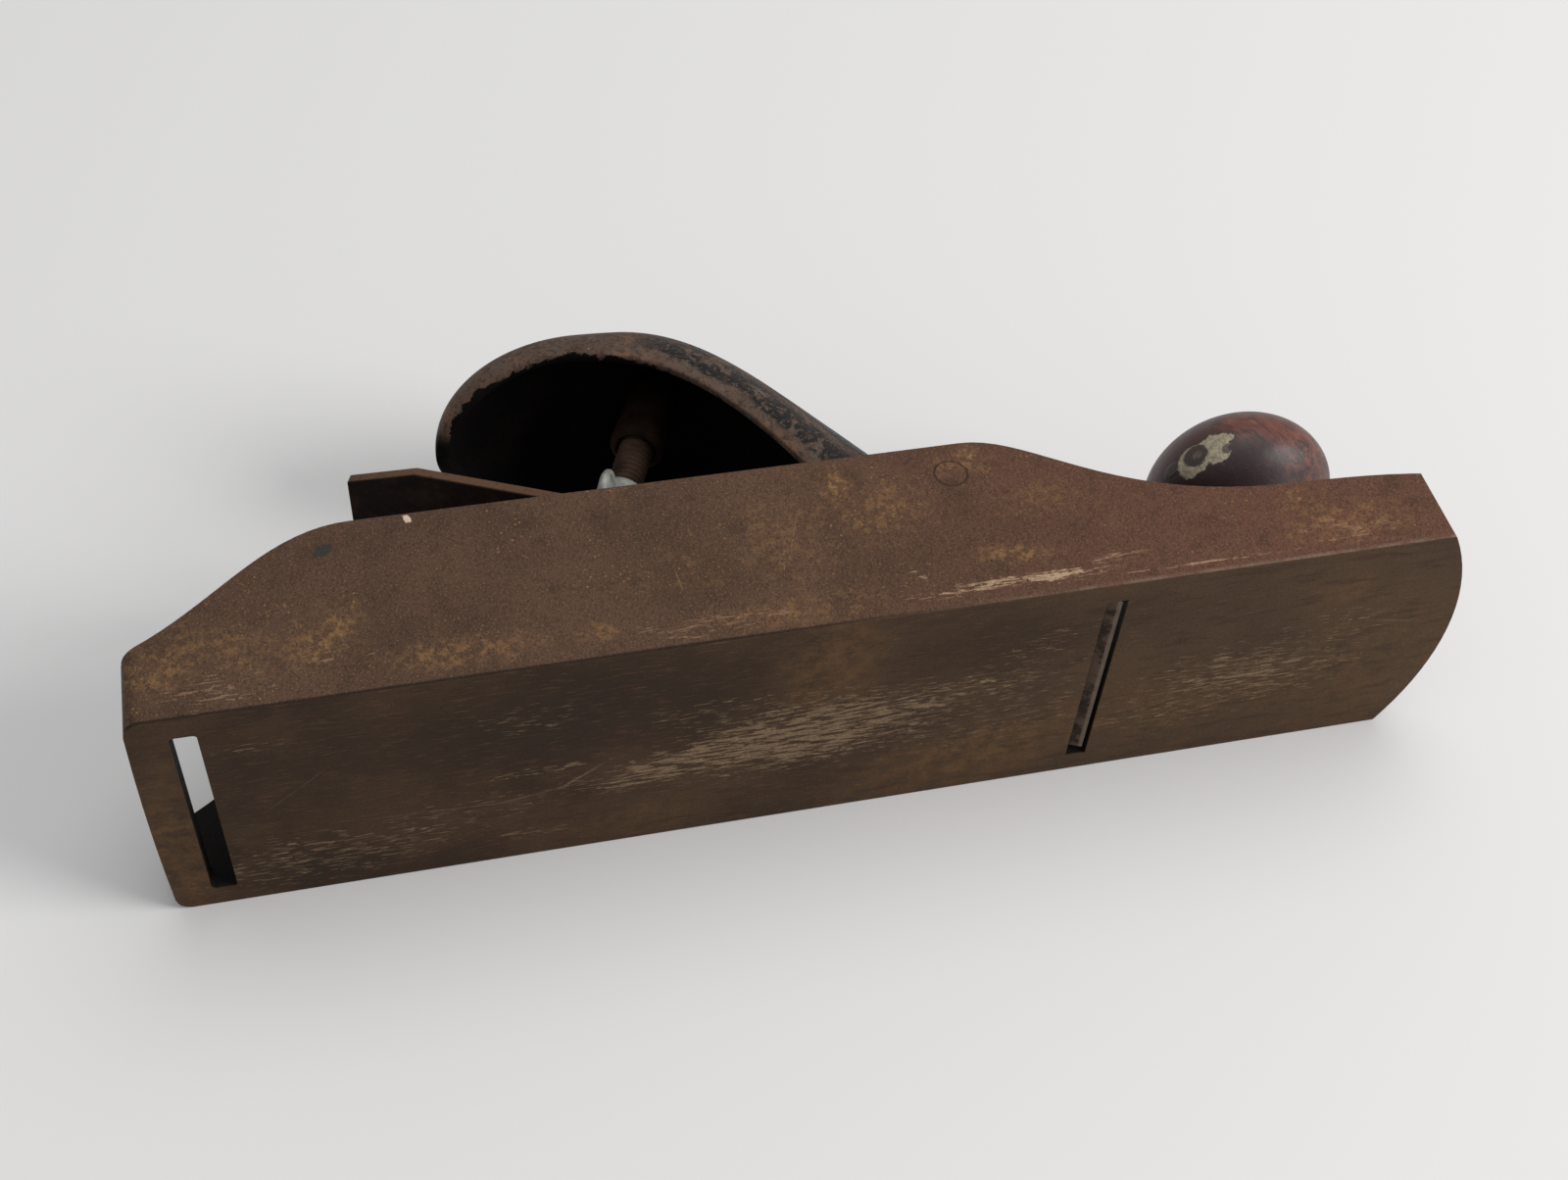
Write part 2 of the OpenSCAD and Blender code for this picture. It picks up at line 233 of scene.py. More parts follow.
# Skins one after another: each one's faces count on from the points before it
def joinSkins(skins):
    points, faces, start = [], [], 0
    for skinPoints, skinFaces in skins:
        points.append(skinPoints)
        faces += [f + start for f in skinFaces]
        start += len(skinPoints)
    return np.concatenate(points), faces


def circle(count):
    return np.linspace(0, 2 * pi, count, endpoint=False)


# Radius and height of a profile turned about Z: x = r cos a, y = r sin a, z = h
def turned(profile, count):
    a = circle(count)
    r, h = profile[:, :1], profile[:, 1:]
    return np.stack([r * np.cos(a), r * np.sin(a), h + 0 * a], -1)


# A cubic curve: the sum of its four points times the Bernstein weights of t
def cubic(points, t):
    p = np.asarray(points, dtype=float)
    t = np.asarray(t)[..., None]
    return (1 - t) ** 3 * p[0] + 3 * t * (1 - t) ** 2 * p[1] + 3 * t * t * (1 - t) * p[2] + t ** 3 * p[3]


# Several cubic pieces end to end, each taking an equal share of t
def chain(pieces, t):
    k = np.minimum((t * len(pieces)).astype(int), len(pieces) - 1)
    return np.array([cubic(pieces[n], u) for n, u in zip(k, t * len(pieces) - k)])


# How far the edges of the CAD pieces are rounded, and what counts as an edge
edges = {
    "body": 0.35 * mm,
    "iron": 0.2 * mm,
    "pin": 0.12 * mm,
    "small": 0.2 * mm,
    "segments": 2,
    "merge": 2e-6,
    "flat": 0.5,  # faces that meet within this many degrees are made one
    "sharp": 35,  # and an edge that turns by more than this is rounded
}


# A CAD piece with its edges rounded. keepSharp tells by an edge's middle whether it is left alone.
def mergedCopy(node, name, width, finish, keepSharp=None):
    mesh = frame["nodes"][node].data.copy()
    mesh.name = name
    piece = addToScene(name, mesh)
    shape = bmesh.new()
    shape.from_mesh(mesh)
    bmesh.ops.remove_doubles(shape, verts=shape.verts, dist=edges["merge"])
    bmesh.ops.dissolve_limit(shape, angle_limit=radians(edges["flat"]), verts=shape.verts, edges=shape.edges)
    weights = shape.edges.layers.float.new("bevel_weight_edge")
    for edge in shape.edges:
        sharp = len(edge.link_faces) == 2 and edge.calc_face_angle(0) > radians(edges["sharp"])
        middle = (edge.verts[0].co + edge.verts[1].co) / 2
        left = keepSharp and keepSharp(middle)
        edge[weights] = 1.0 if sharp and not left else 0.0
        edge.smooth = not (sharp and left)
    shape.to_mesh(mesh)
    shape.free()
    mesh.materials.clear()
    mesh.materials.append(finish)
    if mesh.attributes.get("custom_normal"):
        mesh.attributes.remove(mesh.attributes["custom_normal"])
    bevel = piece.modifiers.new("softEdges", "BEVEL")
    bevel.width = width
    bevel.segments = edges["segments"]
    bevel.limit_method = "WEIGHT"
    piece.modifiers.new("evenFlats", "WEIGHTED_NORMAL").keep_sharp = True
    mesh.polygons.foreach_set("use_smooth", np.full(len(mesh.polygons), True))
    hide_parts(node)
    return piece


# One material's nodes. Each method adds some and returns the socket that carries the result.
class Finish:
    def __init__(self, name):
        self.material = bpy.data.materials.new(name)
        self.material.use_nodes = True
        self.tree = self.material.node_tree
        self.place = self.node("TexCoord", {}, "Object")

    def node(self, kind, inputs, output=0, **settings):
        return addNode(self.tree, kind, inputs, **settings).outputs[output]

    def calc(self, operation, *values, clamp=False):
        return self.node("Math", dict(enumerate(values)), operation=operation, use_clamp=clamp)

    # a times b plus c
    def add(self, a, b, c, clamp=False):
        return self.calc("MULTIPLY_ADD", a, b, c, clamp=clamp)

    def less(self, a, b):
        return self.calc("SUBTRACT", a, b)

    def both(self, a, b):
        return self.calc("MULTIPLY", a, b)

    def either(self, a, b):
        return self.calc("MAXIMUM", a, b)

    def vector(self, operation, *values):
        output = "Value" if operation == "LENGTH" else "Vector"
        return self.node("VectorMath", dict(enumerate(values)), output, operation=operation)

    # The pattern's place: (point - centre) turned and multiplied by scale
    def mapped(self, scale=(1, 1, 1), centre=(0, 0, 0), turn=(0, 0, 0)):
        facts = {"Location": centre, "Rotation": turn, "Scale": [1 / s for s in scale]}
        return self.node("Mapping", {"Vector": self.place, **facts}, vector_type="TEXTURE")

    def noise(self, scale, detail=4, roughness=0.55, distortion=0.0, source=None):
        facts = {"Scale": scale, "Detail": detail, "Roughness": roughness, "Distortion": distortion}
        return self.node("TexNoise", {"Vector": source or self.place, **facts}, "Fac")

    # Noise stretched by its own scale on each axis
    def streaks(self, scale, detail, roughness, distortion, turn=(0, 0, 0)):
        return self.noise(1, detail, roughness, distortion, self.mapped(scale, turn=turn))

    def cells(self, scale):
        return self.node("TexVoronoi", {"Vector": self.place, "Scale": scale}, "Distance")

    # 0 up to low, 1 from high, smooth in between; low above high turns it round
    def step(self, value, low, high):
        facts = {"Value": value, "From Min": min(low, high), "From Max": max(low, high)}
        if low > high:
            facts |= {"To Min": 1, "To Max": 0}
        return self.node("MapRange", facts, interpolation_type="SMOOTHSTEP")

    # A step between two values of a noise
    def blots(self, low, high, *noise):
        return self.step(self.noise(*noise), low, high)

    # A step between two distances in millimetres, counted from start
    def between(self, value, ends, start=0.0):
        return self.step(value, start + ends[0] * mm, start + ends[1] * mm)

    # The mix node's colours are its inputs 6 and 7 and its output 2
    def mix(self, factor, a, b):
        return self.node("Mix", {0: factor, 6: a, 7: b}, 2, data_type="RGBA")

    # One colour laid over another where the mask is, at a strength
    def over(self, below, mask, strength, above):
        return self.mix(self.both(mask, strength), below, above)

    # Layers over a colour: pattern by name or as a noise's values, low and high, strength and colour's name
    def layers(self, colour, facts, colours, patterns=()):
        for pattern, low, high, strength, above in facts:
            source = patterns[pattern] if pattern in patterns else self.noise(*pattern)
            colour = self.over(colour, self.step(source, low, high), strength, colours[above])
        return colour

    # 1 inside an ellipsoid and 0 outside it, with a soft edge that the shift breaks up
    def spot(self, centre, size, turn=(0, 0, 0), soft=0.5, shift=0.0, broken=0.0):
        unit = self.mapped([1 / (s * mm) for s in size], fromHeel(*centre), [radians(a) for a in turn])
        far = self.add(shift, broken, self.vector("LENGTH", unit))
        return self.step(far, 1 + soft / 2, 1 - soft / 2)

    def splitPlace(self):
        return addNode(self.tree, "SeparateXYZ", {0: self.place}).outputs

    def finish(self, colour, roughness, height, depth, metallic, specular):
        bump = self.node("Bump", {"Distance": depth, "Height": height})
        fill(self.tree, self.tree.nodes["Principled BSDF"], {
            "Base Color": colour, "Roughness": roughness, "Metallic": metallic,
            "Specular IOR Level": specular, "Normal": bump})
        return self.material


ironRust = {
    "dark": (0.036, 0.021, 0.014),
    "brown": (0.107, 0.0595, 0.0368),
    "red": (0.142, 0.063, 0.0395),
    "light": (0.23, 0.15, 0.09),
    "ochre": (0.29, 0.155, 0.062),
    "cream": (0.5, 0.345, 0.215),
    "scraped": (0.33, 0.195, 0.115),
    "paleEdge": (0.28, 0.2, 0.155),
    # painted shade along the lower edge
    "edgeShade": (0.014, 0.01, 0.008),
    "chipPaint": (0.66, 0.5, 0.38),
    "smudgeDark": (0.03, 0.036, 0.032),
    "pinGapShade": (0.022, 0.012, 0.009),
    "inside": (0.01, 0.008, 0.007),
    "soleDark": (0.0285, 0.0175, 0.0102),
    "soleBrown": (0.066, 0.036, 0.019),
    "soleRed": (0.098, 0.044, 0.02),
    "soleBloom": (0.13, 0.068, 0.028),
    "soleGap": (0.04, 0.02, 0.012),
    "soleOlive": (0.094, 0.055, 0.029),
    "worn": (0.246, 0.164, 0.096),
    "wornShade": 0.72,
    # where the looks change, in millimetres up from the sole, out from the cheek or along from the heel
    "soleUp": (0.4, 0.15),
    "skinOut": (-5.0, -4.7),
    "redAlong": (100, 240),
    "oliveAlong": (60, 220),
    # where the painted shade line runs along the lower edge, and where the edge is lighter in front
    "darkEdge": ((1.2, 0.7), (180, 120)),  # up, then along
    "paleEdgeReach": ((1.5, 0.5), (130, 220)),
    # the pin's middle, and the ring of painted shade in the gap round it
    "pin": (169, 0, 35.5),
    "pinGapShadeRadii": (3.95, 3.45),
    # patterns: scale, detail and roughness
    "noises": {
        "broad": (26, 4, 0.6),
        "middle": (150, 5, 0.65),
        "fine": (1500, 3, 0.6),
        "grain": (2300, 2, 0.5),
        "shift": (230, 5, 0.7),
    },
    # streaks along the plane, long and thin: scale on each axis, detail, roughness and distortion
    "streaks": {
        "wide": ((75, 420, 420), 5, 0.62, 0.5),
        "thin": ((150, 1250, 1250), 4, 0.65, 0.3),
        "hair": ((230, 2600, 2600), 2, 0.5, 0.2),
        "short": ((360, 1300, 1100), 5, 0.72, 0.5),
    },
    "cheekLayers": [("fine", 0.46, 0.64, 0.36, "dark"), ("grain", 0.59, 0.67, 0.55, "light")],
    "soleLayers": [
        ("wide", 0.5, 0.66, 0.55, "soleGap"),
        ("thin", 0.54, 0.68, 0.5, "soleRed"),
        ("fine", 0.52, 0.66, 0.35, "soleDark"),
        ("hair", 0.62, 0.7, 0.16, "worn"),
    ],
    "bumpDepth": 0.00014,
    "specular": 0.1,
}

# Marks on the sole: how soft and how broken their edges are, then each one's place along and across,
# half length and half width in millimetres, turn in degrees and strength
soleMarks = {
    "worn": (1.4, 1.2, [
        (116, 4.8, 27, 5.2, -10, 1), (134, 2.6, 26, 9.6, -6, 1), (160, -3, 26, 5, -8, 0.44),
        (178, -14, 14, 4, -25, 0.2), (232, 5.5, 20, 9, 0, 0.56), (214, 14, 16, 7, 0, 0.34),
        (250, -6, 12, 10, 0, 0.22), (34, 20, 24, 7, -4, 0.42), (62, 12, 22, 5, -4, 0.2),
        (78, 1.7, 9, 1.2, -3, 0.55), (75, 23.5, 7, 1.6, 0, 0.45), (75, -16, 9, 4, 0, 0.2),
        (23, -20.5, 7, 1.2, 0, 0.42), (118, -9, 18, 4, 0, 0.28), (170, 8, 24, 8, -8, 0.26)]),
    "scratch": (0.9, 0.8, [
        (58, 10.6, 15, 0.22, 3, 0.35), (77, 9.6, 9, 0.25, -10, 0.4), (84, 6.6, 6, 0.3, -36, 0.5),
        (28.5, -3.8, 8, 0.15, -42, 0.25), (262, -6, 7, 0.25, 12, 0.3)]),
    "ochre": (1.5, 1.4, [
        (136, -20, 9, 14, 8, 0.75), (172, 19, 24, 9, -12, 0.85), (247, -19, 7, 4, -30, 0.6),
        (4, 10, 6, 22, 0, 0.7), (260, 10, 16, 20, 0, 0.45), (222, 12, 26, 12, 0, 0.4),
        (96, 24, 10, 5, 0, 0.4)]),
    "shade": (1.5, 0.9, [
        (80, -16, 52, 13, -4, 0.8), (172, -18, 26, 10, 0, 0.6), (38, 0, 24, 14, 0, 0.35)]),
}

# Marks on the cheek in the same way, with their places along and up
cheekMarks = {
    "bloom": (1.3, 2.4, [
        (39, 14.5, 5, 8, 35, 0.8), (64, 6.5, 13, 3.2, 0, 0.6), (7, 12, 7, 5.5, 0, 0.6),
        (20, 16, 10, 5, 20, 0.45), (91, 7, 4, 2, 0, 0.6), (144.5, 37, 2.8, 5, 0, 0.8),
        (152, 28, 8, 8, 0, 0.5), (172, 38.5, 7, 3.2, 0, 0.55), (176.5, 12, 7, 2.2, 8, 0.8),
        (131, 24, 8, 10, 0, 0.35), (247, 8.5, 12, 4.6, 0, 0.7), (238, 16, 3.5, 2.5, 0, 0.6),
        (128, 5, 18, 4, 0, 0.4), (186, 26, 9, 5, 0, 0.35)]),
    "cream": (1.4, 2.6, [
        (178, 5, 13, 1.2, 1, 0.92), (162, 4.2, 9, 0.9, 0, 0.62), (155.5, 9.5, 4.5, 0.9, 55, 0.6),
        (194, 7.4, 6, 1.1, -4, 0.6), (116, 5, 10, 2, 0, 0.46), (103, 4, 5, 0.9, 20, 0.4),
        (19, 5.5, 8, 3, 0, 0.44), (247, 6.8, 9, 2.6, 0, 0.42), (213, 3, 22, 0.35, 0, 0.6),
        (41, 9.4, 6, 1.4, 8, 0.4), (174, 40.2, 1.8, 2, 0, 0.6)]),
    "lines": (0.8, 1, [
        (132.2, 23, 0.2, 8, 20, 0.4), (129.6, 19, 0.16, 5, 12, 0.35), (107.8, 17, 0.16, 4, -6, 0.35),
        (104.5, 26, 0.16, 2.4, 0, 0.35)]),
    "chip": (0.3, 2, [(57.2, 42.3, 0.9, 1.3, -12, 1)]),
    "smudge": (0.8, 2.4, [(40.2, 37, 2.4, 1.2, -35, 0.8)]),
}
markReach = {"sole": 4, "cheek": 90}  # millimetres through the sole and the cheeks


# The patterns and marks of the cheeks and the sole, by name
def castingPatterns(f):
    found = {name: f.noise(*facts) for name, facts in ironRust["noises"].items()}
    found |= {name: f.streaks(*facts) for name, facts in ironRust["streaks"].items()}
    shift = f.less(found["shift"], 0.5)
    return found | {kind: castingMarks(f, shift, kind) for kind in soleMarks | cheekMarks}


# The strongest of one kind's marks, each weighed by its own strength
def castingMarks(f, shift, kind):
    onCheek = kind in cheekMarks
    soft, broken, marks = (cheekMarks if onCheek else soleMarks)[kind]
    total = 0.0
    for along, other, long, wide, turn, strength in marks:
        if onCheek:
            facts = (along, 0, other), (long, markReach["cheek"], wide), (0, turn, 0)
        else:
            facts = (along, other, 0), (long, wide, markReach["sole"]), (0, 0, turn)
        total = f.either(total, f.both(f.spot(*facts, soft, shift, broken), strength))
    return total


# Streaks show above a line that sinks from high to low with the mark's strength
def streaked(f, strength, pattern, high, low, soft=0.03):
    line = f.add(strength, low - high, high)
    return f.step(f.less(pattern, line), -soft, soft)


# The cheeks: brown cast skin, redder towards the toe, with ochre bloom and scraped paint
def cheekColour(f, p, x):
    c = ironRust
    colour = f.over(c["brown"], f.step(p["broad"], 0.36, 0.64), 0.35, c["dark"])
    colour = f.over(colour, f.between(x, c["redAlong"], heelX), 0.75, c["red"])
    colour = f.over(colour, f.step(p["middle"], 0.5, 0.74), 0.45, c["dark"])
    bloom = f.add(f.blots(0.54, 0.72, 48, 6, 0.72), 0.35, p["bloom"], True)
    flecks = f.blots(0.46, 0.6, 560, 4, 0.72)
    colour = f.mix(f.both(bloom, f.add(flecks, 0.8, 0.1)), colour, c["ochre"])
    colour = f.layers(colour, c["cheekLayers"], c, p)
    specks = f.both(f.step(f.cells(620), 0.2, 0.1), f.blots(0.5, 0.62, 70, 4, 0.65))
    colour = f.over(colour, specks, 0.75, c["ochre"])
    creamy = p["cream"]
    flat, narrow = streaked(f, creamy, p["short"], 0.68, 0.49), streaked(f, creamy, p["hair"], 0.66, 0.5)
    scraped = f.both(f.either(flat, narrow), f.add(creamy, 0.6, 0.4))
    scraped = f.both(f.step(creamy, 0.02, 0.1), scraped)
    lines = f.both(p["lines"], f.blots(0.42, 0.54, 700, 3, 0.7))
    paint = f.mix(f.step(creamy, 0.46, 0.62), c["scraped"], c["cream"])
    colour = f.over(colour, f.either(scraped, lines), 0.85, paint)
    colour = f.mix(p["chip"], colour, c["chipPaint"])
    smudge = f.both(p["smudge"], f.step(p["middle"], 0.3, 0.5))
    return f.mix(smudge, colour, c["smudgeDark"])


# The lower edge has a painted shade line behind and is lighter in front, and a thin ring of painted shade marks
# the gap round the pin
def edgeColour(f, p, x, z, cheek):
    c = ironRust
    dark, paleEdge = [f.both(f.between(z, up), f.between(x, along, heelX))
                    for up, along in (c["darkEdge"], c["paleEdgeReach"])]
    # painted shade: a dark line along the lower edge behind
    colour = f.over(cheek, dark, 0.8, c["edgeShade"])
    paleEdge = f.both(paleEdge, f.add(f.step(p["middle"], 0.42, 0.6), 0.35, 0.15))
    colour = f.mix(paleEdge, colour, c["paleEdge"])
    # painted shade: a dark ring in the gap round the pin
    outer, inner = [f.spot(c["pin"], (radius, 90, radius), soft=0.06) for radius in c["pinGapShadeRadii"]]
    return f.over(colour, f.both(outer, f.less(1.0, inner)), 0.55, c["pinGapShade"])


# The sole: ground iron gone dark, worn bright in streaks along its length
def soleColour(f, p, x):
    c = ironRust
    colour = f.mix(f.step(p["broad"], 0.34, 0.66), c["soleDark"], c["soleBrown"])
    colour = f.over(colour, f.between(x, c["oliveAlong"], heelX), 0.5, c["soleOlive"])
    colour = f.mix(p["shade"], colour, c["soleDark"])
    bloom = f.both(p["ochre"], f.blots(0.3, 0.66, 260, 4, 0.7))
    colour = f.mix(bloom, colour, c["soleBloom"])
    colour = f.layers(colour, c["soleLayers"], c, p)
    worn = p["worn"]
    solid = f.both(f.step(worn, 0.05, 0.2), streaked(f, worn, p["wide"], 0.74, 0.47, 0.02))
    lone = f.both(f.step(worn, 0.02, 0.15), streaked(f, worn, p["thin"], 0.7, 0.49, 0.02))
    hairs = f.both(f.step(worn, 0.02, 0.15), streaked(f, worn, p["hair"], 0.68, 0.47))
    lone = f.either(lone, f.both(hairs, 0.8))
    scratch = f.both(p["scratch"], f.step(p["middle"], 0.25, 0.6))
    bright = f.either(f.either(f.both(solid, 0.85), f.both(lone, 0.8)), scratch)
    pale = f.mix(f.step(p["fine"], 0.4, 0.6), c["worn"], [v * c["wornShade"] for v in c["worn"]])
    colour = f.mix(bright, colour, pale)
    gaps = f.both(f.step(worn, 0.35, 0.8), f.step(p["thin"], 0.5, 0.46))
    return f.over(colour, gaps, 0.85, c["soleGap"])


def rustyCasting():
    f = Finish("rustyCasting")
    c = ironRust
    x, y, z = f.splitPlace()
    p = castingPatterns(f)
    onSole = f.between(z, c["soleUp"])
    outside = f.between(f.calc("ABSOLUTE", y), c["skinOut"], halfWidth)
    cheek = edgeColour(f, p, x, z, cheekColour(f, p, x))
    colour = f.mix(onSole, f.mix(outside, c["inside"], cheek), soleColour(f, p, x))
    rough = f.less(f.add(p["fine"], 0.3, 0.52), f.both(onSole, 0.08))
    pits = f.step(f.cells(1500), 0.34, 0.12)
    height = f.add(pits, -0.7, f.add(p["grain"], 0.6, p["fine"]))
    height = f.add(f.less(1.0, onSole), height, f.both(height, 0.2))
    height = f.add(p["middle"], 0.8, height)
    return f.finish(colour, rough, height, c["bumpDepth"], 0.0, c["specular"])


# The plainly rusted metals: how light, and how strong the gloss. The boss's rust is made much darker as painted
# shade inside the dome.
plainMetals = {"bossRustAndShade": (0.3, 0.05), "screwRust": (0.62, 0.14)}


def plainRust(name):
    f = Finish(name)
    light, specular = plainMetals[name]
    dark, brown, red = [[v * light for v in ironRust[shade]] for shade in ("dark", "brown", "red")]
    colour = f.mix(f.blots(0.35, 0.65, 90, 5, 0.6), dark, brown)
    colour = f.over(colour, f.blots(0.5, 0.7, 400), 0.5, red)
    rough = f.add(f.noise(600), 0.3, 0.5)
    return f.finish(colour, rough, f.noise(1200, 3, 0.7), 0.00008, 0.0, specular)


cutterLook = {
    "redBrown": (0.11, 0.058, 0.034),
    "under": (0.014, 0.008, 0.006),
    "underBrown": (0.04, 0.02, 0.013),
    "strip": (0.092, 0.06, 0.042),  # the part of the underside that shows in the mouth
    "stripDark": (0.03, 0.019, 0.014),
    # bare steel at the cutting edge, made paler as a painted highlight
    "bareEdgeAndGlint": (0.24, 0.18, 0.135),
    # where they change, in millimetres up from the underside or along from the heel
    "underUp": (0.6, 0.2),
    "stripAlong": (183, 187),
    "bareAndGlintAlong": (195.3, 195.7),
    "bumpDepth": 0.0001,
    "specular": 0.08,
}


# The iron's underside is nearly black, its edges and top are brown, and a pale line at the cutting edge is bare
# steel with a painted highlight.
# The height over the underside is (x - edge) sin a + z cos a, where a is the bed's angle.
def cutterRust():
    f = Finish("ironRust")
    c = cutterLook
    slope = radians(bed["angle"])
    edge = fromHeel(bed["edgeX"], 0, 0)
    x, y, z = f.splitPlace()
    above = f.add(x, sin(slope), f.add(z, cos(slope), -edge.x * sin(slope)))
    brown = f.mix(f.blots(0.35, 0.65, 70, 5, 0.65), ironRust["brown"], c["redBrown"])
    brown = f.over(brown, f.blots(0.5, 0.72, 900, 4, 0.7), 0.6, ironRust["dark"])
    dark = f.mix(f.blots(0.45, 0.7, 120, 5, 0.7), c["under"], c["underBrown"])
    strip = f.mix(f.blots(0.44, 0.6, 260, 5, 0.7), c["strip"], c["stripDark"])
    # painted highlight: a pale line along the cutting edge, over bare steel
    bareEdgeAndGlint = f.between(f.add(f.noise(400, 4, 0.7), 0.6 * mm, x), c["bareAndGlintAlong"], heelX)
    strip = f.over(strip, bareEdgeAndGlint, 0.5, c["bareEdgeAndGlint"])
    dark = f.mix(f.between(x, c["stripAlong"], heelX), dark, strip)
    colour = f.mix(f.between(above, c["underUp"]), brown, dark)
    rough = f.add(f.noise(600), 0.3, 0.5)
    return f.finish(colour, rough, f.noise(1100, 4, 0.75), c["bumpDepth"], 0.0, c["specular"])


capLook = {
    "black": (0.0045, 0.005, 0.0056),
    "rust": (0.121, 0.078, 0.057),
    "rustShade": 0.68,
    "warm": (0.185, 0.098, 0.054),
    "grey": (0.12, 0.1, 0.084),
    "pit": (0.022, 0.014, 0.011),
    "chip": (0.26, 0.19, 0.125),
    "deep": (0.004, 0.0032, 0.003),
    "deepWarm": (0.012, 0.008, 0.0065),
    # the rust's layers: noise, where it starts and is full, strength and colour
    "rustLayers": [
        ((150, 5, 0.7), 0.52, 0.68, 0.7, "warm"),
        ((240, 5, 0.7), 0.54, 0.64, 0.6, "grey"),
        ((900, 4, 0.7), 0.48, 0.62, 0.55, "pit"),
    ],
    # where the japanning still flakes, in millimetres: along the rim, and up from it
    "flakesAlong": (50, 118),
    "flakesUp": (3.4, 12.6),
    "wander": 9,  # how far the edges of the japanning stray
    "wholeUp": 16.2,  # from here up the japanning is whole, towards the front
    "wholeUpBehind": 17.5,
    "wholeTurn": (40, 60),  # where along the rim it goes from one to the other
    "rustEdge": (-1.0, -2.2),  # how far up from the rim the rust ends, behind and in front
    "rustTurn": (36, 60),
    "rustWander": 8.0,
    "blackBelow": 2.2,  # the faces below this take the hollow's dull black
    "bossBelow": -8,  # and those below this are the boss, which is rusty
    "bumpDepth": 0.00036,
    "hollowBumpDepth": 0.0003,
}


# A point's way up from the rim and along it, in millimetres
def rimPlace(f):
    return [f.calc("DIVIDE", f.node("Attribute", {}, "Fac", attribute_name=name), mm)
            for name in ("fromRim", "alongRim")]


def capRust(f):
    c = capLook
    shade = [v * c["rustShade"] for v in c["rust"]]
    rust = f.mix(f.blots(0.35, 0.65, 60, 5, 0.6), c["rust"], shade)
    rust = f.layers(rust, c["rustLayers"], c)
    rust = f.over(rust, f.step(f.cells(800), 0.2, 0.08), 0.6, c["pit"])
    chips = f.both(f.step(f.cells(420), 0.18, 0.09), f.blots(0.53, 0.62, 120, 3, 0.6))
    return f.over(rust, chips, 0.7, c["chip"])


# The dome outside: rust near the rim, curled flakes in front, and whole japanning over the top
def japanned():
    f = Finish("wornJapan")
    c = capLook
    up, along = rimPlace(f)
    wander = f.less(f.noise(90, 5, 0.7), 0.5)
    place = f.add(wander, c["wander"], up)
    (start, end), (low, high) = c["flakesAlong"], c["flakesUp"]
    inBand = f.both(f.step(place, low - 1, low + 1), f.step(place, high + 1.5, high - 1))
    inBand = f.both(inBand, f.both(f.step(along, start - 6, start + 4), f.step(along, end + 4, end - 4)))
    flake = f.noise(235, 5, 0.64, 1.2)
    curls = f.step(f.calc("ABSOLUTE", f.less(flake, 0.5)), 0.068, 0.05)
    patches = f.blots(0.34, 0.42, 120, 3, 0.6)
    crumbs = f.blots(0.38, 0.44, 900, 3, 0.7)
    flaked = f.both(f.both(inBand, patches), f.both(f.either(curls, f.step(flake, 0.42, 0.38)), crumbs))
    line = f.add(f.step(along, *c["wholeTurn"]), c["wholeUp"] - c["wholeUpBehind"], c["wholeUpBehind"])
    whole = f.both(f.step(f.less(place, line), -0.6, 1.4), f.blots(0.26, 0.4, 130, 5, 0.7))
    backTip = f.both(f.step(along, 4, 1), f.step(wander, -0.12, 0.0))
    kept = f.either(f.either(flaked, whole), backTip)
    colour = f.mix(kept, capRust(f), c["black"])
    rough = f.add(kept, -0.36, 0.76)
    height = f.add(kept, 0.9, f.both(f.noise(520, 5, 0.78), 1.8))
    return f.finish(colour, rough, height, c["bumpDepth"], 0.0, 0.2)


# The hollow is japanned black, and rust creeps over its rim
def deepBlack():
    f = Finish("hollowBlack")
    c = capLook
    up, along = rimPlace(f)
    black = f.over(c["deep"], f.blots(0.48, 0.66, 70, 5, 0.65), 0.5, c["deepWarm"])
    behind, front = c["rustEdge"]
    edge = f.add(f.step(along, *c["rustTurn"]), front - behind, behind)
    edge = f.add(f.less(f.noise(135, 6, 0.66, 0.6), 0.5), c["rustWander"], edge)
    rusty = f.both(f.step(f.less(up, edge), -0.15, 0.25), f.step(along, 0.5, 2.5))
    colour = f.mix(rusty, black, capRust(f))
    height = f.add(rusty, 0.8, f.noise(520, 4, 0.75))
    return f.finish(colour, f.add(f.noise(300), 0.2, 0.7), height, c["hollowBumpDepth"], 0.0, 0.06)


metalLook = {
    "pale": (0.33, 0.34, 0.305),
    "dull": (0.17, 0.163, 0.138),
    "rust": (0.06, 0.036, 0.026),
    "rustRadius": (6.8, 5.6),  # from the screw's axis, in millimetres
    "brass": (0.3, 0.2, 0.08),
    "darkBrass": (0.1, 0.06, 0.03),
}


# Pale cast metal on the wings; the hub has taken the screw's rust round the thread.
# The distance from the screw's axis is the length of (point - a point of the axis) x (the axis).
def whiteMetal():
    f = Finish("whiteMetal")
    c = metalLook
    fromScrew = f.mapped(centre=tuple(joints["screw_turn"]["pos_m"]))
    axis = Vector(joints["screw_turn"]["axis"]).normalized()
    offAxis = f.vector("LENGTH", f.vector("CROSS_PRODUCT", fromScrew, axis))
    radius = f.add(f.noise(300, 4, 0.7), 3 * mm, offAxis)
    pale = f.mix(f.blots(0.42, 0.66, 260, 4, 0.65), c["pale"], c["dull"])
    colour = f.mix(f.between(radius, c["rustRadius"]), pale, c["rust"])
    return f.finish(colour, 0.5, f.noise(420, 4, 0.7), 0.00035, 0.2, 0.4)


def oldBrass():
    f = Finish("oldBrass")
    colour = f.mix(f.blots(0.4, 0.65, 300), metalLook["brass"], metalLook["darkBrass"])
    return f.finish(colour, 0.45, f.noise(900, 3), 0.00003, 0.8, 0.5)


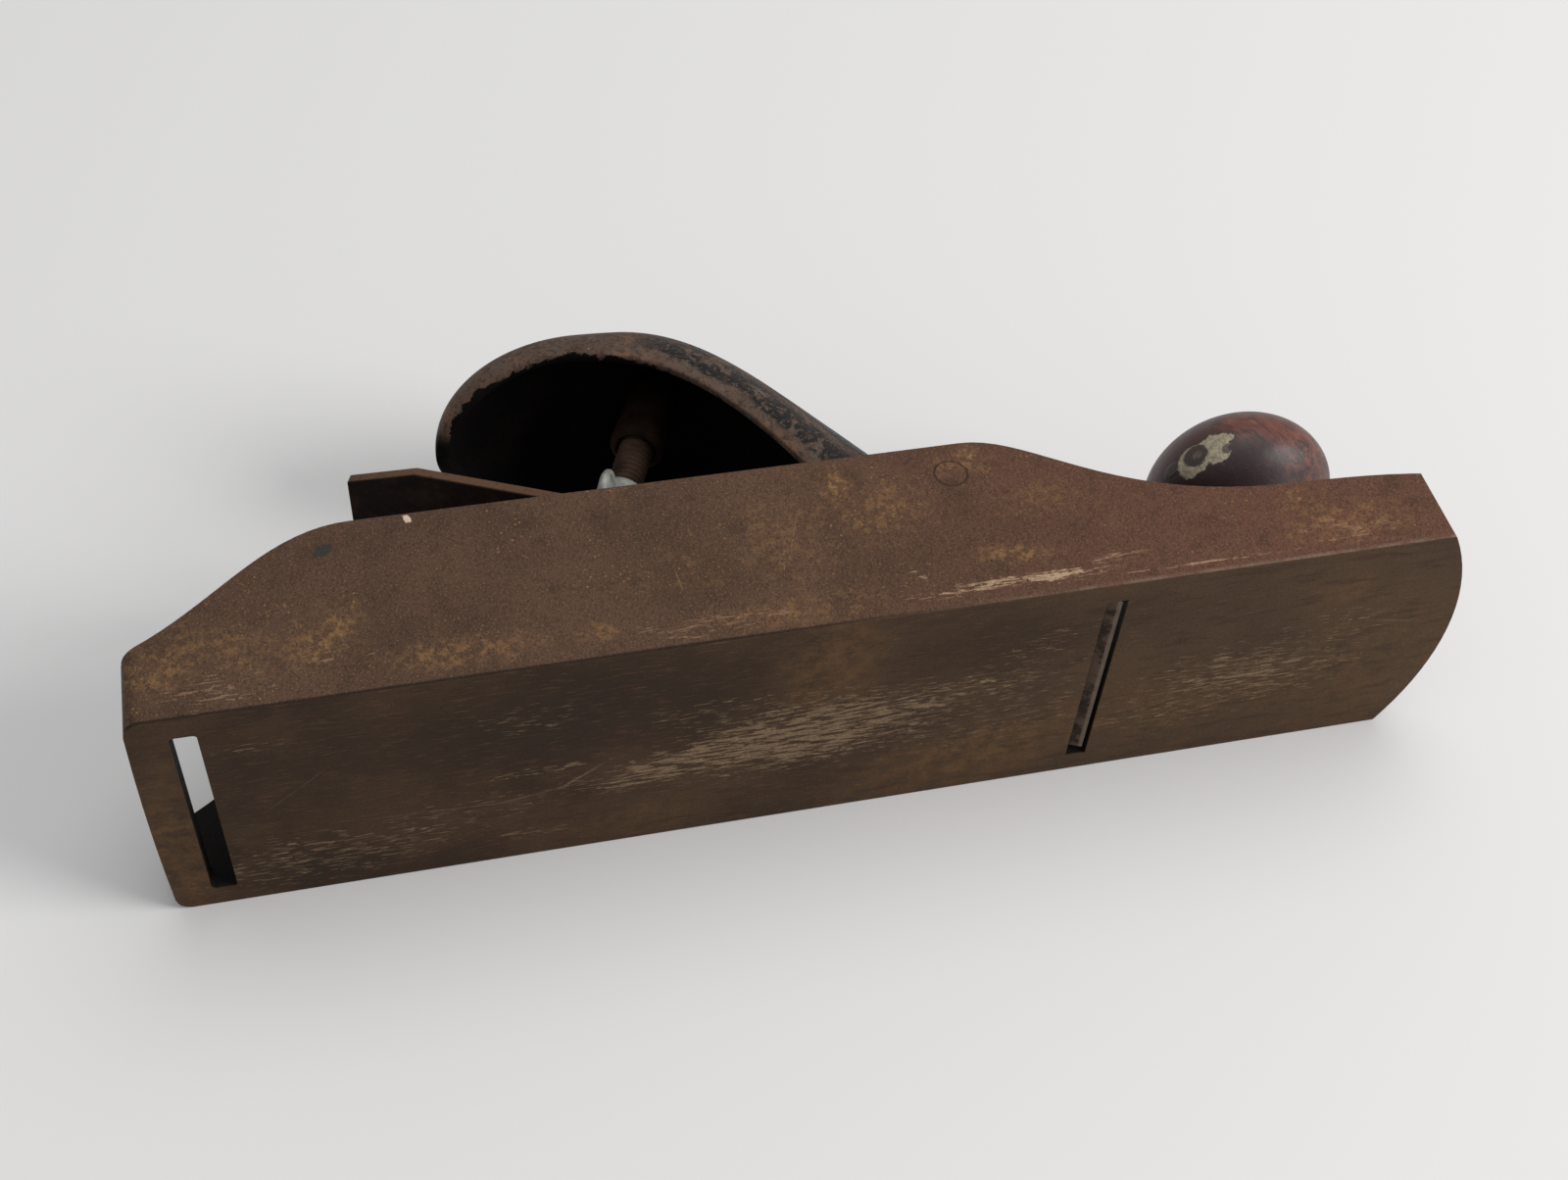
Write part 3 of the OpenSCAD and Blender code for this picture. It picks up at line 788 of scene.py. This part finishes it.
# Marks on the knob: place from the heel, half size, turn about Y, how soft and how broken
knobMarks = {
    "redTop": ((244, -19, 47.6), (8, 14, 4.6), 20, 1.2, 1.4),
    "redFront": ((255, -15, 43.5), (9, 16, 8), 40, 1.2, 1.2),
    "lobe": ((229.7, -16.2, 44.0), (3.0, 9, 3.3), 0, 0.12, 0.8),
    "hole": ((230.2, -16.5, 44.6), (2.3, 9, 2.35), 0, 0.22, 0.9),
    "eye": ((230.4, -16.6, 44.4), (1.0, 9, 0.9), 0, 0.5, 1.2),
    "flag": ((234.0, -18.9, 44.0), (2.9, 9, 3.6), -18, 0.12, 1.6),
    "flagTop": ((234.8, -18.6, 45.8), (3.6, 9, 1.7), 8, 0.12, 1.4),
    "rightHole": ((236.2, -19.4, 42.8), (1.25, 9, 1.1), 0, 0.4, 0.9),
    "bump": ((225.9, -12.1, 45.4), (1.2, 9, 1.4), 0, 0.4, 0.9),
}

woodLook = {
    "black": (0.035, 0.0205, 0.0198),
    "brown": (0.066, 0.028, 0.023),
    "brownUp": (41, 50),  # millimetres above the sole
    "red": (0.18, 0.056, 0.038),
    "pore": (0.16, 0.055, 0.03),
    "streak": (0.3, 0.115, 0.06),
    "paint": (0.43, 0.368, 0.255),
    "shade": (0.06, 0.046, 0.036),
    "grain": ((420, 420, 110), 6, 0.7, 0.8),  # scale on each axis, detail, roughness and distortion
    "pores": ((1500, 1500, 160), 3, 0.6, 0.3),
    "grainTurn": -38,  # degrees about Y
    "bumpDepth": 0.00012,
}


# Dark wood, red where it is worn, with a patch of cream paint that has two holes in it
def redWood():
    f = Finish("darkRedWood")
    c = woodLook
    x, y, z = f.splitPlace()
    shift = f.less(f.noise(420, 5, 0.65), 0.5)
    grain, pores = [f.streaks(*c[name], (0, radians(c["grainTurn"]), 0)) for name in ("grain", "pores")]
    colour = f.mix(f.between(z, c["brownUp"]), c["black"], c["brown"])
    spots = {name: f.spot(place, size, (0, turn, 0), soft, shift, broken)
             for name, (place, size, turn, soft, broken) in knobMarks.items()}
    redArea = f.either(spots["redTop"], spots["redFront"])
    colour = f.mix(f.both(redArea, f.add(f.step(grain, 0.42, 0.62), 0.85, 0.05)), colour, c["red"])
    colour = f.over(colour, f.step(grain, 0.54, 0.7), 0.12, c["red"])
    colour = f.over(colour, f.step(pores, 0.62, 0.72), 0.35, c["pore"])
    colour = f.over(colour, f.both(redArea, f.step(pores, 0.55, 0.64)), 0.38, c["streak"])
    hole, bump = spots["hole"], spots["bump"]
    blotch = f.blots(0.36, 0.6, 800, 4, 0.7)
    left = f.both(spots["lobe"], f.less(1.0, hole))
    right = f.both(f.either(spots["flag"], spots["flagTop"]), f.less(1.0, f.both(spots["rightHole"], 0.8)))
    right = f.both(right, f.less(1.0, hole))
    paint = f.either(f.both(left, f.add(blotch, 0.4, 0.6)), f.both(right, f.add(blotch, 0.45, 0.55)))
    paint = f.either(paint, f.both(f.both(spots["eye"], blotch), 0.22))
    colour = f.over(colour, f.either(f.both(hole, spots["lobe"]), bump), 0.75, c["shade"])
    colour = f.mix(paint, colour, c["paint"])
    rough = f.add(paint, 0.35, f.add(f.noise(260), 0.16, 0.37))
    height = f.add(paint, 1.4, f.both(f.noise(500, 4, 0.7), 0.7))
    height = f.add(bump, 2.0, height)
    return f.finish(colour, rough, height, c["bumpDepth"], 0.0, 0.4)


casting = rustyCasting()
japan = japanned()
hollowBlack = deepBlack()
bossRustAndShade = plainRust("bossRustAndShade")
screwRust = plainRust("screwRust")
ironFinish = cutterRust()
wingMetal = whiteMetal()
knobWood = redWood()
brass = oldBrass()
print("finishes mixed")

pinMiddle = Vector(joints["cap_rock"]["pos_m"])
keptSharp = {"pinHole": 5 * mm, "cuttingEdge": 0.6 * mm}  # the reach from the pin's axis, and up from the sole

body = mergedCopy("body_casting", "planeBody", edges["body"], casting,
                  lambda p: (Vector((p.x, 0, p.z)) - pinMiddle).length < keptSharp["pinHole"])
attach(body, "casting")

pin = mergedCopy("fulcrum_pin", "crossPin", edges["pin"], casting)
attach(pin, "casting")

cutter = mergedCopy("plane_iron", "cutter", edges["iron"], ironFinish, lambda p: p.z < keptSharp["cuttingEdge"])
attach(cutter, "iron")
print("body, pin and iron are finished")


capShape = {
    "width": 50.0,
    "wall": 3.0,
    "backX": 66.0,
    "backZ": 88.0,
    "crownRise": 18.5,
    "hipToPin": 58,  # the crown is highest this far behind the pin
    "lowToPin": 9,
    "lipToEdge": 7.5,
    "noseRise": 1.6,
    "squareness": 2.35,  # 2 would make each section an ellipse
    "planRound": 1.9,
    "rimRound": 0.9,
    "stations": 220,
    "archSteps": 72,
    "rimSteps": 9,
    "hollowEnds": (0.56, 0.73),
    "hollowFact": -4,  # stands for the way up from the rim in the hollow, in millimetres
}


# The crown and the rim are curves in side view. Each station t joins rim, crown and rim by
# x, z = rim + (crown - rim) * sin(a) ** (2 / p) and y = -half * cos(a) ** (2 / p), a from 0 to 180 degrees.
# The inner wall is the same arch, moved in by the wall, and it flattens to the rim where the nose is solid.
def capSkin(s):
    pin = joints["cap_rock"]["pos_m"]
    pinX, pinZ = (pin[0] - heelX) / mm, pin[2] / mm
    backX, backZ, wall = s["backX"], s["backZ"], s["wall"]
    crownZ = backZ + s["crownRise"]
    hipX, lowX, lipX = pinX - s["hipToPin"], pinX - s["lowToPin"], bed["edgeX"] - s["lipToEdge"]
    bedAngle = radians(bed["angle"])

    def ironTop(x):
        return (bed["edgeX"] - x) * tan(bedAngle) + bed["ironThick"] / cos(bedAngle)

    noseZ = ironTop(lipX) + s["noseRise"]
    crown = [
        [[backX, backZ], [backX, backZ + 12.5], [hipX - 31, crownZ + 0.3], [hipX, crownZ]],
        [[hipX, crownZ], [hipX + 19, crownZ], [hipX + 30, pinZ + 51], [pinX - 14, pinZ + 34]],
        [[pinX - 14, pinZ + 34], [pinX + 4, pinZ + 8], [lipX - 2, noseZ + 14], [lipX, noseZ]]]
    rim = [
        [[backX, backZ], [backX, backZ], [hipX - 26, backZ + 8], [hipX - 4, backZ + 1.5]],
        [[hipX - 4, backZ + 1.5], [hipX + 11, backZ - 3.5], [hipX + 22, pinZ + 35], [pinX - 24, pinZ + 8]],
        [[pinX - 24, pinZ + 8], [lowX - 6, ironTop(lowX) + 11.2], [lowX - 2, ironTop(lowX) + 2.7],
         [lipX, ironTop(lipX) + 1.2]]]

    # half * (1 - u ** p) ** (1 / p), where u goes from 0 at the bend to 1 at the back
    def halfWide(x, back, half):
        bend = hipX - 12
        u = np.clip((bend - x) / (bend - back), 0, 1)
        return half * (1 - u ** s["planRound"]) ** (1 / s["planRound"])

    def arch(low, high, half):
        a = np.linspace(0, pi, s["archSteps"])
        power = 2 / s["squareness"]
        up = np.sin(a) ** power
        side = np.sign(np.cos(a)) * np.abs(np.cos(a)) ** power
        x = low[:, :1] + (high[:, :1] - low[:, :1]) * up
        z = low[:, 1:] + (high[:, 1:] - low[:, 1:]) * up
        return np.stack([x, -half[:, None] * side, z], -1)

    t = np.linspace(0.0005, 1, s["stations"])
    rimLine, crownLine = chain(rim, t), chain(crown, t)
    outer = arch(rimLine, crownLine, halfWide(rimLine[:, 0], backX, s["width"] / 2))

    closing = np.clip((t - s["hollowEnds"][0]) / (s["hollowEnds"][1] - s["hollowEnds"][0]), 0, 1)
    deep = 1 - closing * closing * (3 - 2 * closing)
    inRim = rimLine.copy()
    inRim[:, 0] = np.maximum(inRim[:, 0] + wall * (1 - t), backX + wall + 0.02)
    inHalf = halfWide(inRim[:, 0], backX + wall, s["width"] / 2 - wall)
    inCrown = crownLine.copy()
    inCrown[:, 0] += wall * (1 - t) - 0.7 * wall * t
    inCrown[:, 1] = np.maximum(inCrown[:, 1] - wall * (1 + 0.25 * t), inRim[:, 1] + 0.2)
    inCrown = inRim + (inCrown - inRim) * deep[:, None]
    inner = arch(inRim, inCrown, inHalf)[:, ::-1]

    # The rim is rounded: between the walls it swells away from the crown as a half ellipse
    step = 1e-3
    along = chain(rim, np.minimum(t + step, 1)) - chain(rim, np.maximum(t - step, 0))
    along /= np.linalg.norm(along, axis=1, keepdims=True)
    away = np.stack([along[:, 1], 0 * t, -along[:, 0]], -1)[:, None]
    angle = np.linspace(0, pi, s["rimSteps"] + 2)[1:-1, None]
    swell = s["rimRound"] * np.minimum(1, np.minimum(t * 60, (1 - t) * 8))[:, None, None]

    def rimBand(start, end):
        middle = (start + end)[:, None] / 2
        reach = (start - end)[:, None] / 2
        return middle + reach * np.cos(angle) + away * swell * np.sin(angle)

    rings = np.concatenate([outer, rimBand(outer[:, -1], inner[:, 0]), inner,
                            rimBand(inner[:, -1], outer[:, 0])], axis=1)

    # Each point's way from the rim's outer edge, below zero inside, and its way along the rim
    gone = np.cumsum(np.linalg.norm(np.diff(outer, axis=1, prepend=outer[:, :1]), axis=2), axis=1)
    fromRim = np.minimum(gone, gone[:, -1:] - gone)
    across = -np.linspace(0.05, wall, s["rimSteps"]) * np.ones((len(t), 1))
    inward = np.full(inner.shape[:2], float(s["hollowFact"]))
    fromRim = np.concatenate([fromRim, across, inward, across[:, ::-1]], axis=1)
    walked = np.cumsum(np.linalg.norm(np.diff(rimLine, axis=0, prepend=rimLine[:1]), axis=1))
    alongRim = walked[:, None] * np.ones((1, rings.shape[1]))
    facts = [np.concatenate([a.ravel(), [a[0].mean(), a[-1].mean()]]) * mm for a in (fromRim, alongRim)]
    return ringSkin(rings * mm + np.array([heelX, 0, 0])), facts


screwPoint = Vector(joints["screw_turn"]["pos_m"])
screwAxis = Vector(joints["screw_turn"]["axis"]).normalized()
screwSide = Vector((0, 1, 0)).cross(screwAxis).normalized()


# Points about Z, turned by an angle and then put about the clamp screw's axis
def onScrew(points, turn=0.0):
    basis = np.array([screwSide, (0, 1, 0), screwAxis])
    c, s = cos(turn), sin(turn)
    spin = np.array([[c, s, 0], [-s, c, 0], [0, 0, 1]])
    return points @ spin @ basis + np.array(screwPoint)


bossShape = {"mouth": 39.8, "mouthRadius": 6.4, "rootRadius": 5.9, "bore": 4.1, "sink": 4.6, "depth": 21.8}


# The boss is a turned tube that widens to its mouth, where the bore is countersunk
def bossSkin(s):
    mouth, wide, root = s["mouth"], s["mouthRadius"], s["rootRadius"]
    top = mouth + s["depth"]
    outline = [[s["sink"], mouth + 0.3], [s["sink"] + 0.5, mouth], [wide - 1.2, mouth + 0.05],
               [wide - 0.5, mouth + 0.3], [wide - 0.1, mouth + 0.9], [wide, mouth + 1.8],
               [wide - 0.2, mouth + 4], [root, mouth + 9], [root, top], [s["bore"], top],
               [s["bore"], mouth + 4.5], [s["bore"], mouth + 3.5]]
    points, faces = wrapSkin(turned(np.array(outline) * mm, 64))
    return onScrew(points), faces


lipShape = {"halfWidth": 23.5, "chamfer": 0.3, "endScale": 0.9, "gap": 0.1, "back": 0.6, "high": 3.3}


# The lip is a straight bar under the nose. Its outline (u, v) lies along the iron and up from it:
# x = edge + u cos a + v sin a, z = v cos a - u sin a, where a is the bed's angle.
def lipSkin(s):
    b = radians(bed["angle"])
    front = -capShape["lipToEdge"] / cos(b) - s["back"]
    low = bed["ironThick"] + s["gap"]
    outline = np.array([[front - 4.5, low], [front, low], [front + 0.4, low + 0.4], [front + 0.5, low + 1.2],
                        [front - 1, low + s["high"]], [front - 7.5, low + s["high"]]])
    end, side = s["halfWidth"], s["halfWidth"] - s["chamfer"]
    y = np.array([-end, -side, side, end])
    shrink = np.array([s["endScale"], 1, 1, s["endScale"]])
    middle = outline.mean(0)
    flat = middle + (outline[None] - middle) * shrink[:, None, None]
    x = bed["edgeX"] + flat[..., 0] * cos(b) + flat[..., 1] * sin(b)
    z = -flat[..., 0] * sin(b) + flat[..., 1] * cos(b)
    rings = np.stack([x, np.broadcast_to(y[:, None], x.shape), z], -1)
    return ringSkin(rings * mm + np.array([heelX, 0, 0]))


# The boss's and the lip's way up from the rim and along it, in millimetres
plainFacts = {"fromRim": (-9, 4), "alongRim": (0, 4)}

capShell, shellFacts = capSkin(capShape)
capBoss, capLip = bossSkin(bossShape), lipSkin(lipShape)
capFacts = {}
for (factName, plain), values in zip(plainFacts.items(), shellFacts):
    extra = [np.full(len(skin[0]), value * mm) for skin, value in zip((capBoss, capLip), plain)]
    capFacts[factName] = np.concatenate([values] + extra)
cap = addPiece("leverCap", joinSkins([capShell, capBoss, capLip]), [japan, hollowBlack, bossRustAndShade], capFacts)


# A face's highest corner tells its finish: japanning, the hollow's black or the boss's rust with painted shade
def sortCapFaces(mesh):
    up = [item.value for item in mesh.attributes["fromRim"].data]
    for face in mesh.polygons:
        highest = max(up[corner] for corner in face.vertices)
        face.material_index = sum(highest < capLook[name] * mm for name in ("blackBelow", "bossBelow"))


sortCapFaces(cap.data)
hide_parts("lever_cap")
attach(cap, "cap")
print("lever cap:", len(cap.data.polygons), "faces")


screwShape = {
    "radius": 3.97,
    "threadDeep": 0.62,
    "threadSlope": 2.6,
    "threadFlat": 0.15,
    "pitch": 2 * pi * 1000 * couplings["screw_feed"]["ratio"],
    "foot": 3.9,
    "top": 55.2,  # stays under the dome's wall when the cap is slack
    "endTaper": 0.7,
    "stepsPerTurn": 10,
    "around": 56,
    "spigotRadius": 2.3,
    "spigotFoot": 2.0,
}


# The thread: radius = outer - deep * wave, and wave runs 0, 1, 0 while height - pitch * angle / 360
# passes one pitch
def screwSkin(s):
    foot, top, spigot = s["foot"], s["top"], s["spigotRadius"]
    turns = (top - foot) / s["pitch"]
    h = np.linspace(foot, top, int(turns * s["stepsPerTurn"]))
    a = circle(s["around"])
    height, angle = np.meshgrid(h, a, indexing="ij")
    phase = (height / s["pitch"] - angle / (2 * pi)) % 1
    wave = np.clip(s["threadSlope"] * np.abs(phase - 0.5) - s["threadFlat"], 0, 1)
    ends = np.minimum(np.minimum(height - foot, top - height) / 1.0, 1)
    radius = s["radius"] - s["threadDeep"] * wave - s["endTaper"] * (1 - ends)
    rings = np.stack([radius * np.cos(angle), radius * np.sin(angle), height], -1)
    outline = np.array([[spigot - 0.3, s["spigotFoot"]], [spigot, s["spigotFoot"] + 0.3], [spigot, foot + 0.6]])
    points, faces = joinSkins([ringSkin(rings * mm), ringSkin(turned(outline, 32) * mm)])
    return onScrew(points), faces


screw = addPiece("clampScrew", screwSkin(screwShape), [screwRust])
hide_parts("clamp_screw")
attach(screw, "screw")

wingShape = {
    "hubFoot": 10.5,
    "hubHigh": 16.0,
    "hubRadius": 6.5,
    "topRadius": 5.7,
    "bore": 4.0,
    "root": (3.6, 3.6),  # where each wing starts inside the hub: out, and up from the hub's foot
    "reach": 15.5,
    "earMiddle": (10.9, 6.0),
    "earRadius": 4.6,
    "neckRadius": 2.6,
    "thick": 4.4,
    "thinning": 0.28,
    "turn": 180 + 84,
}


# The hub is a turned profile. Each wing is a row of flat ellipses along a line from the hub to the ear:
# half height and half thickness follow the square root of the distance to the ear's end.
def wingSkin(s):
    foot, top, hub, neckTop = s["hubFoot"], s["hubFoot"] + s["hubHigh"], s["hubRadius"], s["topRadius"]
    outline = np.array([[s["bore"], foot], [hub - 0.8, foot], [hub - 0.15, foot + 0.3], [hub, foot + 1],
                        [hub - 0.1, foot + 3], [hub - 0.6, foot + 8], [neckTop, top - 2], [neckTop, top - 0.8],
                        [neckTop - 0.3, top - 0.2], [neckTop - 0.9, top], [s["bore"], top]])
    skins = [wrapSkin(turned(outline * mm, 64))]
    (rootX, rootZ), (earX, earZ) = s["root"], s["earMiddle"]
    x = rootX + (s["reach"] - rootX) * np.sin(np.linspace(0, 1, 40) * pi / 2)
    lift = (x - rootX) / (earX - rootX)
    z = rootZ + (earZ - rootZ) * np.clip(lift, 0, 1.1) ** 1.4
    inEar = np.clip((x - earX) / s["earRadius"], 0, 1)
    neck = s["neckRadius"] + (s["earRadius"] - s["neckRadius"]) * np.clip(lift, 0, 1) ** 1.2
    high = neck * np.sqrt(1 - inEar ** 2) + 0.02
    thin = s["thick"] / 2 * (1 - s["thinning"] * np.clip(lift, 0, 1)) * np.sqrt(1 - inEar ** 2.6) + 0.02
    a = circle(36)
    up = np.sign(np.sin(a)) * np.abs(np.sin(a)) ** 0.9
    across = np.sign(np.cos(a)) * np.abs(np.cos(a)) ** 0.8
    rings = np.stack([x[:, None] + 0 * a, thin[:, None] * across, foot + z[:, None] + high[:, None] * up], -1)
    skins += [ringSkin(rings * np.array([side, side, 1]) * mm) for side in (1, -1)]
    points, faces = joinSkins(skins)
    return onScrew(points, radians(s["turn"])), faces


wing = addPiece("wingNut", wingSkin(wingShape), [wingMetal])
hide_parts("wing_nut")
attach(wing, "screw")

foot = mergedCopy("thrust_foot", "thrustFoot", edges["small"], screwRust)
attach(foot, "foot")
print("clamp screw, wing nut and foot are in place")


knobShape = {
    "place": 244.0,
    "foot": 29.05,
    "radius": 21.8,
    "footRadius": 13.5,
    "high": 31.0,
    "widest": 16.5,
    "nutHole": 6.5,
    "nutSink": 3.8,
    "bore": 3.4,
}


# A turned profile of two cubic curves that meet at the widest ring
def knobSkin(s):
    f, r, w, top = s["footRadius"], s["radius"], s["widest"], s["high"]
    hole, floor = s["nutHole"], s["high"] - s["nutSink"]
    t = np.linspace(0, 1, 40)
    base = [[s["bore"], 0], [f - 0.8, 0], [f - 0.15, 0.2], [f, 0.8], [f, 1.8], [f - 0.3, 2.6]]
    flare = cubic([[f - 0.8, 3], [f + 0.5, 7], [r, w - 8], [r, w]], t)
    dome = cubic([[r, w], [r, w + 8], [r * 0.62, top], [r * 0.3 + 0.8, top]], t[1:])
    sink = [[hole + 0.1, top - 0.15], [hole, top - 0.6], [hole, floor], [s["bore"], floor]]
    points, faces = wrapSkin(turned(np.concatenate([base, flare, dome, sink]) * mm, 128))
    return points + np.array(fromHeel(s["place"], 0, s["foot"])), faces


knob = addPiece("frontKnob", knobSkin(knobShape), [knobWood])
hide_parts("front_knob")
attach(knob, "casting")

nut = mergedCopy("knob_nut", "knobNut", edges["small"], brass)
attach(nut, "casting")
stud = mergedCopy("knob_stud", "knobStud", edges["small"], screwRust)
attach(stud, "casting")
print("knob, nut and stud are in place")
